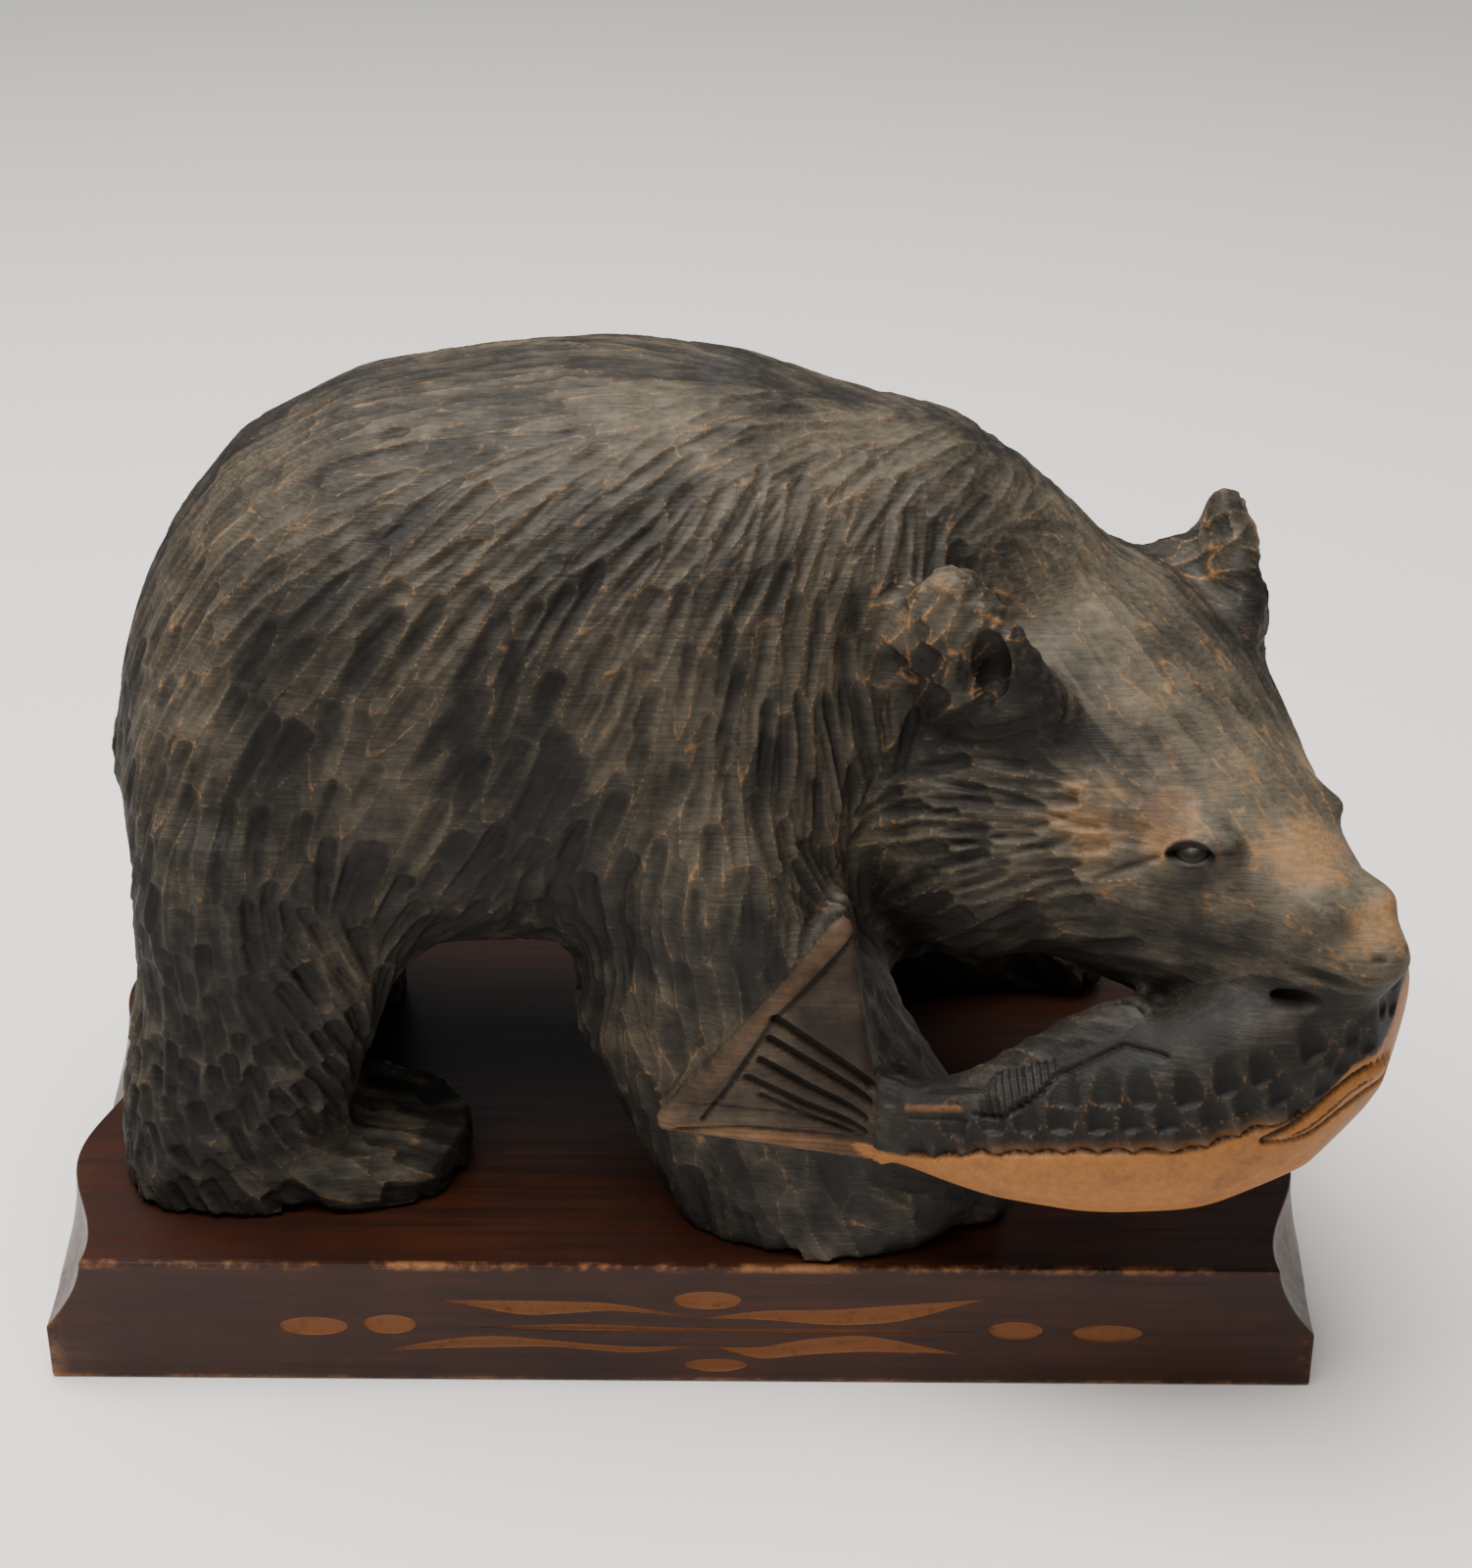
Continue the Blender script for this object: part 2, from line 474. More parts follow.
def cut_gouges(grid, normals, centres, facing, lie, mark):
    """Lowest of many gouge cuts at each point, in millimetres, the next above it, and whose.

    A cut drops steeply at its rounded upper end, runs out slowly and is round across.
    """
    points = grid.points
    first, second = np.zeros(len(points)), np.full(len(points), 0.6)
    owner = np.zeros(len(points), dtype=int)
    across = np.cross(facing, lie)
    for k in range(len(centres)):
        length, width, depth = mark[k, 0] / 10, mark[k, 1] / 10, mark[k, 2]
        found = grid.near(centres[k], 0.62 * max(length, width))
        offset = points[found] - centres[k]
        u = offset @ lie[k] / length + 0.38
        v = offset @ across[k] / width
        rise = np.where(u < 0, 55.0, 1.25) * u * u
        value = depth * (rise + 4.0 * v * v - 1.0)
        keep = (value < 0.6) & (normals[found] @ facing[k] > 0.2)
        keep &= np.abs(offset @ facing[k]) < 0.9
        found, value = found[keep], value[keep]
        lower = value < first[found]
        second[found] = np.where(lower, first[found], np.minimum(second[found], value))
        owner[found] = np.where(lower, k, owner[found])
        first[found] = np.where(lower, value, first[found])
    return first, second, owner


def scatter_marks(points, normals, allowed, seed, share=(1.0, 1.0, 1.0), tries=STROKE_TRIES,
                  room=0.55):
    """Centres for the fur's gouge marks, spaced by their own length and width."""
    rng = np.random.default_rng(seed)
    pool = rng.permutation(np.flatnonzero(allowed))[:tries]
    lie, mark = fur_field(points[pool], normals[pool])
    mark = mark * np.array(share)
    mark[:, 2] = np.minimum(mark[:, 2], 1.15)
    mark *= rng.uniform((0.75, 0.75, 0.75), (1.3, 1.3, 1.25), size=(len(pool), 3))
    angle = rng.normal(0.0, 0.09, size=len(pool))
    across = np.cross(normals[pool], lie)
    lie = lie * np.cos(angle)[:, None] + across * np.sin(angle)[:, None]
    across = np.cross(normals[pool], lie)
    taken = np.zeros((MOST_STROKES, 3))
    count = 0
    chosen = []
    for k in range(len(pool)):
        here = points[pool[k]]
        if count:
            offset = taken[:count] - here
            u = offset @ lie[k] / (mark[k, 0] / 10)
            v = offset @ across[k] / (mark[k, 1] / 10)
            w = offset @ normals[pool[k]] / 0.6
            if (u * u + v * v + w * w).min() < room:
                continue
        taken[count] = here
        chosen.append(k)
        count += 1
        if count == len(taken):
            break
    chosen = np.array(chosen)
    return points[pool[chosen]], normals[pool[chosen]], lie[chosen], mark[chosen]


def scale_marks(points, normals, on_fish):
    """Rows of rounded scales along the salmon's near side, staggered."""
    place, even, other, along, side = salmon_path()
    fish = np.flatnonzero(on_fish)
    fish_points = points[fish]
    centres, facing, lie, mark = [], [], [], []
    for lift, shift, start, stop, pitch, tall, depth in SCALE_ROWS:
        position = start + shift * pitch / 10
        while position < stop:
            k = min(int(np.searchsorted(even, position)), len(even) - 1)
            angle = math.asin(max(min(other[k, 2], 0.9), -0.9)) + lift / other[k, 1]
            if angle < 1.35:
                spot = place[k] + np.array([0, 0, math.sin(angle) * other[k, 1]])
                spot = spot + side[k] * math.cos(angle) * other[k, 0]
                nearest = np.argmin(((fish_points - spot) ** 2).sum(axis=1))
                centres.append(fish_points[nearest])
                facing.append(normals[fish[nearest]])
                up = np.array([0.0, 0.0, 1.0]) - 0.25 * along[k]
                up = up - (up @ facing[-1]) * facing[-1]
                lie.append(up / np.linalg.norm(up))
                mark.append((tall, pitch, depth))
            position += pitch / 10
    return np.array(centres), np.array(facing), np.array(lie), np.array(mark)


def line_share(points, path, width):
    """Nearness to a line through a path: 1 on it, 0 at half its width and beyond."""
    half = width / 20
    path = np.array(path, dtype=float)
    share = np.zeros(len(points))
    near = np.flatnonzero(((points > path.min(axis=0) - half)
                           & (points < path.max(axis=0) + half)).all(axis=1))
    best = np.full(len(near), 1e9)
    for a, b in zip(path, path[1:]):
        step = b - a
        t = np.clip((points[near] - a) @ step / (step @ step), 0, 1)
        gap = points[near] - a - t[:, None] * step
        best = np.minimum(best, (gap ** 2).sum(axis=1))
    share[near] = np.clip(1 - np.sqrt(best) / half, 0, 1)
    return share


def dent_share(points, centre, along, length, width):
    """Nearness to the middle of a long round dent: 1 in it, 0 at its rim."""
    along = np.array(along, dtype=float)
    along /= np.linalg.norm(along)
    offset = points - np.array(centre)
    u = offset @ along
    v = (offset ** 2).sum(axis=1) - u * u
    return np.clip(1 - (u * 20 / length) ** 2 - v * (20 / width) ** 2, 0, 1)


def even_out(points, edges, share, rounds):
    """Smooth a patch of the skin where share is above nothing."""
    inside = share > 0.01
    keep = edges[inside[edges[:, 0]] & inside[edges[:, 1]]]
    used, local = np.unique(keep, return_inverse=True)
    local = local.reshape(keep.shape)
    patch, amount = points[used], share[used][:, None] * 0.5
    count = np.bincount(local.ravel(), minlength=len(used))[:, None]
    for _ in range(rounds):
        total = np.stack([
            np.bincount(local[:, 0], patch[local[:, 1], k], len(used))
            + np.bincount(local[:, 1], patch[local[:, 0], k], len(used)) for k in range(3)], axis=1)
        patch = patch + amount * (total / count - patch)
    points = points.copy()
    points[used] = patch
    return points


def carve_eye(head, side):
    """Depth, darkness and gloss of one almond eye: a domed ball between two cut lids."""
    along = np.array([0.74, -0.66 * side, 0.13])
    up = np.array([-0.35, -0.26 * side, 0.90])
    offset = head - np.array([EYE[0], EYE[1] * side, EYE[2]])
    a, b = offset @ along, offset @ up
    near = (offset ** 2).sum(axis=1) < 1.2
    t = np.clip(1 - (a / 0.56) ** 2, 0, 1)
    lid = np.where(b > 0, 0.30, 0.24) * t ** 0.8
    inside = smooth_step(lid - np.abs(b), 0.0, 0.07) * near
    ball = np.sqrt(np.clip(1 - (a / 0.42) ** 2 - (b / 0.30) ** 2, 0, 1))
    rim = np.exp(-((np.abs(b) - lid - 0.07) / 0.06) ** 2) * (t > 0) * near
    depth = -1.5 * inside + 1.3 * inside * ball + 0.22 * rim
    edge = np.exp(-((lid - np.abs(b)) / 0.075) ** 2) * (t > 0) * near
    return depth, np.maximum(edge, inside * (1 - 0.12 * ball)), inside * ball


def copy_node(name, new_name):
    """A merged copy of a CAD node's mesh as a new object."""
    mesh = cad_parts[name].data.copy()
    mesh.name = new_name
    thing = bpy.data.objects.new(new_name, mesh)
    bpy.context.scene.collection.objects.link(thing)
    select_only(thing)
    bpy.ops.object.mode_set(mode="EDIT")
    bpy.ops.mesh.select_all(action="SELECT")
    bpy.ops.mesh.remove_doubles(threshold=0.00001)
    bpy.ops.object.mode_set(mode="OBJECT")
    return thing


def read_mesh(mesh):
    count = len(mesh.vertices)
    points = np.empty(count * 3)
    mesh.vertices.foreach_get("co", points)
    normals = np.empty(count * 3)
    mesh.vertex_normals.foreach_get("vector", normals)
    return points.reshape(-1, 3), normals.reshape(-1, 3)


def inside_fan(points):
    """Whether each point lies on the tail fan's outline, seen from the front."""
    x, z = points[:, 0], points[:, 2]
    inside = np.zeros(len(points), dtype=bool)
    for (x0, z0), (x1, z1) in zip(FAN, FAN[1:] + FAN[:1]):
        cross = ((z0 > z) != (z1 > z)) & (
            x < (x1 - x0) * (z - z0) / (z1 - z0 + 1e-9) + x0)
        inside ^= cross
    return inside & (points[:, 1] < -6.4)


def on_salmon(run, angle, deep, path, width):
    """Nearness to a line drawn on the salmon by its run and its angle above the side."""
    _, even, other, _, _ = salmon_path()
    flat = np.stack([run, np.radians(angle) * deep, np.zeros(len(run))], axis=1)
    line = [(r, math.radians(a) * float(np.interp(r, even, other[:, 1])), 0.0)
            for r, a in path]
    return line_share(flat, line, width)


def carve_salmon(points, normals, fish, place):
    """Scales, fins and the line between the salmon's back and its belly."""
    run, high, out, deep, line = place
    angle = np.degrees(np.arctan2(high, out))
    near_side = fish * smooth_step(out, -0.45, -0.2)
    lift = (angle - np.degrees(np.arcsin(np.clip(line, -0.9, 0.9)))) / 57.3 * deep
    back = np.where(out < -0.2, 1.0, smooth_step(lift, -0.03, 0.02))
    back = np.where((out < -0.2) & (high < line), smooth_step(high, line - 0.05, line), back)
    grid = PointGrid(points)
    first, second, _ = cut_gouges(grid, normals, *scale_marks(points, normals, fish > 0.5))
    depth = first * back * near_side
    crest = np.exp(-np.maximum(second - first, 0) / 0.11) * (first < -0.02) * back * near_side
    groove = np.exp(-(lift / 0.035) ** 2) * near_side * (run < 9.6)
    depth -= 0.55 * groove
    shade = 0.9 * groove
    bare = near_side * back * (1 - smooth_step(lift, 0.05, 0.34)) * smooth_step(run, 2.4, 4.2)
    bare *= 0.5 * (1 - smooth_step(run, 9.0, 9.6))
    bare = np.maximum(bare, 0.34 * smooth_step(crest, 0.35, 1.0) * (lift < 1.9))

    band = near_side * smooth_step(run, 3.05, 3.3) * (1 - smooth_step(run, 4.8, 5.05))
    low = np.interp(run, (3.2, 3.7, 4.6, 4.95), (46, 42, 58, 70))
    high_edge = np.interp(run, (3.2, 3.6, 4.2, 4.95), (56, 80, 90, 92))
    band *= smooth_step(angle, low - 3, low) * (1 - smooth_step(angle, high_edge, high_edge + 4))
    slant = run * 10 + angle * 0.035
    ribs = 1 - np.abs(2 * np.mod(slant / 1.75, 1.0) - 1)
    depth -= band * 0.55 * ribs ** 1.5
    shade = np.maximum(shade, band * ribs ** 2 * 0.8)
    crest = np.maximum(crest * (1 - band), band * (1 - ribs) ** 2 * 0.7)
    for path, width, cut, dark, pale in SALMON_LINES:
        share = on_salmon(run, angle, deep, path, width) * near_side
        depth -= cut * share
        shade = np.maximum(shade, dark * smooth_step(share, 0.0, 0.8))
        bare = np.maximum(bare, pale * smooth_step(share, 0.0, 0.6))
    belly = near_side * (1 - back)
    knob = near_side * np.exp(-((run - 0.95) / 0.32) ** 2)
    depth += 0.7 * knob * (1 - 0.6 * np.abs(np.sin(angle / 57.3 * 9)))
    return depth, crest, shade, bare, belly, -1.3 * first


def carve_fan(points, on_fan):
    """Raised rim, long cuts and fine lines of the tail fan."""
    flat = np.stack([points[:, 0], np.zeros(len(points)), points[:, 2]], axis=1)
    depth = np.zeros(len(points))
    shade = np.zeros(len(points))
    bare = np.zeros(len(points))
    crest = np.zeros(len(points))
    for path, width, cut, dark in FAN_CUTS:
        line = [(x, 0.0, z) for x, z in path]
        share = line_share(flat, line, width) * on_fan
        depth -= cut * np.minimum(share * 1.6, 1.0)
        shade = np.maximum(shade, dark * smooth_step(share, 0.1, 0.9))
        crest = np.maximum(crest, (dark > 0.5) * np.exp(-((share - 0.06) / 0.07) ** 2)
                           * (share > 0))
    rim = line_share(flat, [(x, 0.0, z) for x, z in FAN_RIM], 7.0) * on_fan
    depth += 0.5 * smooth_step(rim, 0.0, 0.5)
    bare = np.maximum(bare, 0.22 * rim)
    bare = np.maximum(bare, 0.06 * on_fan)
    low = on_fan * (1 - smooth_step(points[:, 2] + 0.12 * points[:, 0], 7.35, 7.7))
    fine = 1 - np.abs(2 * np.mod(points[:, 2] / 0.16 + 0.4 * points[:, 0], 1.0) - 1)
    depth -= low * 0.18 * fine
    bare = np.maximum(bare, low * (0.55 - 0.35 * fine))
    return depth, crest, shade, bare


def carve_skin(bear, settings):
    """Cut fur, face, scales and fins into the bear's skin, and paint what its stains need."""
    mesh = bear.data
    metres, normals = read_mesh(mesh)
    points = metres / UNIT
    edges = np.empty(len(mesh.edges) * 2, dtype=np.int32)
    mesh.edges.foreach_get("vertices", edges)
    edges = edges.reshape(-1, 2)
    head = to_head(points)
    for side in (-1, 1):
        gap = ((head - np.array([EYE[0], EYE[1] * side, EYE[2]])) ** 2).sum(axis=1)
        points = even_out(points, edges, 1 - smooth_step(gap, 0.55, 1.1), 160)
    mesh.vertices.foreach_set("co", (points * UNIT).ravel())
    mesh.update()
    metres, normals = read_mesh(mesh)
    head = to_head(points)

    place = salmon_place(points)
    run, high, out = place[:3]
    ring = np.hypot(high, out)
    length = salmon_path()[1][-1]
    fish = ((ring < 1.16) & (run > 0.3) & (run < length + 0.3)).astype(float)
    fan = (inside_fan(points) & (normals[:, 1] < -0.2)).astype(float)
    face = np.zeros(len(points))
    for side in (-1, 1):
        gap = ((head - np.array([EYE[0], EYE[1] * side, EYE[2]])) ** 2).sum(axis=1)
        face = np.maximum(face, 1 - smooth_step(gap, 0.5, 1.3))
    on_fur = (fish < 0.5) & (fan < 0.5)

    grid = PointGrid(points)
    main = scatter_marks(points, normals, on_fur & (face < 0.5), settings.seed)
    first, second, owner = cut_gouges(grid, normals, *main)
    small = scatter_marks(points, normals, on_fur & (face < 0.5), settings.seed + 1,
                          FINE_SHARE, FINE_TRIES, FINE_ROOM)
    fine, fine_next, _ = cut_gouges(grid, normals, *small)
    tone = np.random.default_rng(settings.seed).uniform(0, 1, len(main[0]))[owner]
    depth = (first + fine * 0.8) * (1 - face)
    crest = np.exp(-np.maximum(second - first, 0) / 0.10)
    crest = np.maximum(crest, 0.45 * np.exp(-np.maximum(fine_next - fine, 0) / 0.05))
    strong = smooth_step(main[3][owner, 2], 0.14, 0.48)
    crest *= 0.25 + 0.75 * strong
    hollow = np.clip(-(first + fine) / 1.2, 0, 1)
    shade = np.zeros(len(points))
    bare = np.zeros(len(points))
    gloss = np.zeros(len(points))

    for name, path, width, cut, dark in FACE_CUTS:
        for side in (1, -1):
            line = [(f, s * side, z) for f, s, z in path]
            share = line_share(head, line, width) * (1 - fish * (name == "jaw"))
            depth -= cut * smooth_step(share, 0.0, 1.0)
            shade = np.maximum(shade, dark * smooth_step(share, 0.1, 0.9))
    for centre, along, length, width, cut, dark in FACE_DENTS:
        for side in (1, -1):
            share = dent_share(head, (centre[0], centre[1] * side, centre[2]),
                               (along[0], along[1] * side, along[2]), length, width)
            share *= 1 - fish
            depth = depth * (1 - share * 0.8) - cut * share ** 0.8
            shade = np.maximum(shade, dark * smooth_step(share, 0.05, 0.95))
    for side in (-1, 1):
        cut, dark, shine = carve_eye(head, side)
        depth += cut
        shade = np.maximum(shade, dark)
        gloss = np.maximum(gloss, shine)

    fish_depth, fish_crest, fish_shade, fish_bare, belly, fish_hollow = carve_salmon(
        points, normals, fish, place)
    fan_depth, fan_crest, fan_shade, fan_bare = carve_fan(points, fan)
    for mask, parts in ((fish, (fish_depth, fish_crest, fish_shade, fish_bare, fish_hollow)),
                        (fan, (fan_depth, fan_crest, fan_shade, fan_bare, fan_shade * 0.5))):
        depth = depth * (1 - mask) + parts[0] * mask
        crest = crest * (1 - mask) + parts[1] * mask
        shade = np.maximum(shade * (1 - mask), parts[2] * mask)
        bare = np.maximum(bare * (1 - mask), parts[3] * mask)
        hollow = hollow * (1 - mask) + np.clip(parts[4], 0, 1) * mask
    contact = np.exp(-((ring - 1.17) / 0.07) ** 2) * (run > 6.5) * (run < length) * (fish < 0.5)
    shade = np.maximum(shade, 0.85 * contact)

    metres = metres + normals * (depth * settings.gouge * MM)[:, None]
    mesh.vertices.foreach_set("co", metres.ravel())
    mesh.update()
    edge_wear = 0.55 * smooth_step(crest, 0.5, 1.0) * ear_rims(head)
    bare = np.maximum(bare, edge_wear)
    wear = rub_map(points, head, normals)
    paint = {"crest": crest, "hollow": hollow, "belly": belly * fish, "tone": tone * on_fur,
             "wear": wear * (1 - fish * 0.6), "shade": shade, "bare": bare, "gloss": gloss}
    for name, values in paint.items():
        layer = mesh.attributes.new(name, "FLOAT", "POINT")
        layer.data.foreach_set("value", np.clip(values, 0, 1).astype(np.float32))


def ear_rims(head):
    near = np.zeros(len(head))
    for side in (-1, 1):
        gap = ((head - np.array([-0.2, 4.6 * side, 17.9])) ** 2).sum(axis=1)
        near = np.maximum(near, 1 - smooth_step(gap, 1.6, 4.0))
    return near


def rub_map(points, head, normals):
    wear = np.full(len(points), 0.10)
    for table, space in ((HEAD_RUBS, head), (BODY_RUBS, points)):
        for x, y, z, reach, amount in table:
            for side in (1, -1):
                gap = ((space - np.array([x, y * side, z])) ** 2).sum(axis=1)
                level = amount if side == 1 else amount * 0.85
                wear = np.maximum(wear, level * np.exp(-gap / (reach * reach)))
    return wear * smooth_step(normals[:, 2], -0.9, 0.1)


class CarvingOperator:
    """Shared by the bear's operators"""

    bl_options = {"REGISTER", "UNDO"}


class CARVEDBEAR_OT_skin(CarvingOperator, bpy.types.Operator):
    """Carve the bear and the salmon from one block"""

    bl_idname = "carvedbear.skin"
    bl_label = "Carve Bear and Salmon"

    def execute(self, context):
        settings = context.scene.bear_carving
        bear = copy_node(SKIN, "bear_block")
        apply_modifier(bear, "SUBSURF", levels=2, render_levels=2)
        apply_modifier(bear, "REMESH", mode="VOXEL", voxel_size=settings.grid)
        apply_modifier(bear, "SMOOTH", factor=0.5, iterations=8)
        carve_skin(bear, settings)
        faces = sum(len(p.vertices) - 2 for p in bear.data.polygons)
        if faces > settings.budget:
            apply_modifier(bear, "DECIMATE", ratio=settings.budget / faces)
        bear.data.materials.clear()
        bear.data.materials.append(fur_finish(context.scene.bear_stains))
        select_only(bear)
        bpy.ops.object.shade_smooth()
        for block, name in zip(saw_in_blocks(bear, len(BLOCKS)), BLOCKS):
            block.name = name
            block.data.name = name
            size = sum(len(p.vertices) - 2 for p in block.data.polygons)
            if not 1000 < size < 200000:
                raise RuntimeError(f"{name} has {size} triangles")
            print("block", name, size)
            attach(block, "root")
            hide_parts(SKIN)
        return {"FINISHED"}


def copy_object(thing):
    twin = thing.copy()
    twin.data = thing.data.copy()
    bpy.context.scene.collection.objects.link(twin)
    return twin


def saw_in_blocks(bear, count):
    """Saw the carving across into blocks with about as many faces each."""
    mesh = bear.data
    centres = np.empty(len(mesh.polygons) * 3)
    mesh.polygons.foreach_get("center", centres)
    cuts = np.quantile(centres[::3], [k / count for k in range(1, count)])
    blocks = []
    rest = bear
    for x in cuts:
        block = copy_object(rest)
        saw_off(block, float(x), keep_right=False)
        saw_off(rest, float(x), keep_right=True)
        blocks.append(block)
    return blocks + [rest]


def saw_off(block, x, keep_right):
    """Saw a block across at x, close the cut and keep its edge crisp."""
    select_only(block)
    bpy.ops.object.mode_set(mode="EDIT")
    bpy.ops.mesh.select_all(action="SELECT")
    bpy.ops.mesh.bisect(
        plane_co=(x, 0, 0), plane_no=(1, 0, 0), use_fill=True,
        clear_inner=keep_right, clear_outer=not keep_right)
    bpy.ops.object.mode_set(mode="OBJECT")
    mesh = block.data
    rim = set()
    flat = [p for p in mesh.polygons
            if abs(p.normal.x) > 0.999 and abs(p.center.x - x) < 1e-5]
    for polygon in flat:
        polygon.use_smooth = False
        rim.update(polygon.edge_keys)
    for edge in mesh.edges:
        if edge.key in rim:
            edge.use_edge_sharp = True


# Materials

def new_material(name):
    material = bpy.data.materials.new(name)
    material.use_nodes = True
    return material, material.node_tree.nodes, material.node_tree.links


def noise(nodes, links, vector, scale, detail=3.0, rough=0.55):
    node = nodes.new("ShaderNodeTexNoise")
    node.inputs["Scale"].default_value = scale
    node.inputs["Detail"].default_value = detail
    node.inputs["Roughness"].default_value = rough
    links.new(vector, node.inputs["Vector"])
    return node.outputs["Fac"]


def stretch(nodes, links, vector, scale, turn=(0.0, 0.0, 0.0)):
    node = nodes.new("ShaderNodeMapping")
    node.inputs["Rotation"].default_value = turn
    node.inputs["Scale"].default_value = scale
    links.new(vector, node.inputs["Vector"])
    return node.outputs["Vector"]


def ramp(nodes, links, value, low, high, out_low=0.0, out_high=1.0):
    node = nodes.new("ShaderNodeMapRange")
    node.interpolation_type = "SMOOTHSTEP"
    node.inputs["From Min"].default_value = low
    node.inputs["From Max"].default_value = high
    node.inputs["To Min"].default_value = out_low
    node.inputs["To Max"].default_value = out_high
    links.new(value, node.inputs["Value"])
    return node.outputs["Result"]


def maths(nodes, links, operation, a, b):
    node = nodes.new("ShaderNodeMath")
    node.operation = operation
    for socket, value in zip(node.inputs, (a, b)):
        if isinstance(value, (int, float)):
            socket.default_value = value
        else:
            links.new(value, socket)
    return node.outputs["Value"]


def mix(nodes, links, factor, a, b, blend="MIX"):
    node = nodes.new("ShaderNodeMix")
    node.data_type = "RGBA"
    node.blend_type = blend
    for socket, value in ((node.inputs["Factor"], factor), (node.inputs[6], a),
                          (node.inputs[7], b)):
        if isinstance(value, (int, float, tuple)):
            socket.default_value = value
        elif hasattr(value, "__len__"):
            socket.default_value = tuple(value)
        else:
            links.new(value, socket)
    return node.outputs[2]


def attribute(nodes, name):
    node = nodes.new("ShaderNodeAttribute")
    node.attribute_name = name
    return node.outputs["Fac"]


def fur_finish(stains):
    """Stain that is thin on worn crests and thick in hollows, over bare wood."""
    material, nodes, links = new_material("stained_fur_finish")
    shader = nodes["Principled BSDF"]
    place = nodes.new("ShaderNodeTexCoord").outputs["Object"]
    crest, hollow, tone, wear, shade, bare, belly, gloss = (
        attribute(nodes, name) for name in
        ("crest", "hollow", "tone", "wear", "shade", "bare", "belly", "gloss"))

    def add(a, b):
        return maths(nodes, links, "ADD", a, b)

    def times(a, b):
        return maths(nodes, links, "MULTIPLY", a, b)

    broad = noise(nodes, links, place, 24, 4, 0.6)
    patch = noise(nodes, links, place, 95, 5, 0.65)
    fleck = noise(nodes, links, place, 520, 4, 0.7)
    fibre = noise(nodes, links, stretch(nodes, links, place, (70, 700, 1700)), 1.0, 4, 0.62)
    scratch = noise(nodes, links, stretch(nodes, links, place, (2200, 260, 260),
                                          (0.0, 0.7, 0.5)), 1.0, 3, 0.6)

    level = add(wear, times(add(tone, -0.5), 0.26))
    level = add(level, times(add(broad, -0.5), 0.9))
    level = add(level, times(add(patch, -0.5), 0.7))
    level = add(level, times(hollow, -0.22))
    level = add(level, times(add(fibre, -0.5), 0.35))
    colour = mix(nodes, links, ramp(nodes, links, level, -0.12, 0.62), stains.dark, stains.grey)
    colour = mix(nodes, links, ramp(nodes, links, level, 0.50, 1.15), colour,
                 (0.155, 0.118, 0.078, 1.0))
    tan = ramp(nodes, links, add(times(wear, 0.85), times(patch, 1.1)), 1.02, 1.40)
    colour = mix(nodes, links, times(tan, 0.8), colour, stains.ochre)
    smudge = ramp(nodes, links, noise(nodes, links, place, 38, 3, 0.6), 0.60, 0.75)
    colour = mix(nodes, links, times(smudge, 0.55), colour, (0.012, 0.014, 0.017, 1.0))
    ridge = times(ramp(nodes, links, crest, 0.45, 0.98),
                  ramp(nodes, links, add(level, times(fleck, 0.5)), 0.15, 0.75, 0.05, 0.85))
    colour = mix(nodes, links, ridge, colour, stains.ochre)
    colour = mix(nodes, links, ramp(nodes, links, hollow, 0.25, 1.0, 0.0, 0.62), colour,
                 (0.0040, 0.0032, 0.0026, 1.0))
    colour = mix(nodes, links, times(bare, ramp(nodes, links, patch, 0.25, 0.62, 0.35, 1.0)),
                 colour, (0.30, 0.135, 0.048, 1.0))
    wood = mix(nodes, links, ramp(nodes, links, fibre, 0.3, 0.7), stains.belly,
               (0.25, 0.098, 0.024, 1.0))
    wood = mix(nodes, links, ramp(nodes, links, patch, 0.52, 0.72, 0.0, 0.55), wood,
               (0.15, 0.056, 0.018, 1.0))
    colour = mix(nodes, links, belly, colour, wood)
    colour = mix(nodes, links, shade, colour, (0.0030, 0.0022, 0.0018, 1.0))
    tint = mix(nodes, links, ramp(nodes, links, add(times(fleck, 0.5), times(fibre, 0.5)),
                                  0.30, 0.70), (0.70, 0.70, 0.70, 1.0), (1.22, 1.22, 1.22, 1.0))
    colour = mix(nodes, links, 1.0, colour, tint, blend="MULTIPLY")
    links.new(colour, shader.inputs["Base Color"])
    rough = ramp(nodes, links, add(patch, times(belly, 0.4)), 0.2, 0.9, 0.70, 0.52)
    rough = add(rough, times(gloss, -0.30))
    links.new(rough, shader.inputs["Roughness"])
    bump = nodes.new("ShaderNodeBump")
    bump.inputs["Strength"].default_value = 0.5
    bump.inputs["Distance"].default_value = 0.0004
    height = add(add(fibre, times(fleck, 0.6)), times(scratch, times(wear, 0.5)))
    links.new(times(height, add(1.0, times(gloss, -0.9))), bump.inputs["Height"])
    links.new(bump.outputs["Normal"], shader.inputs["Normal"])
    shader.inputs["Specular IOR Level"].default_value = 0.24
    return material


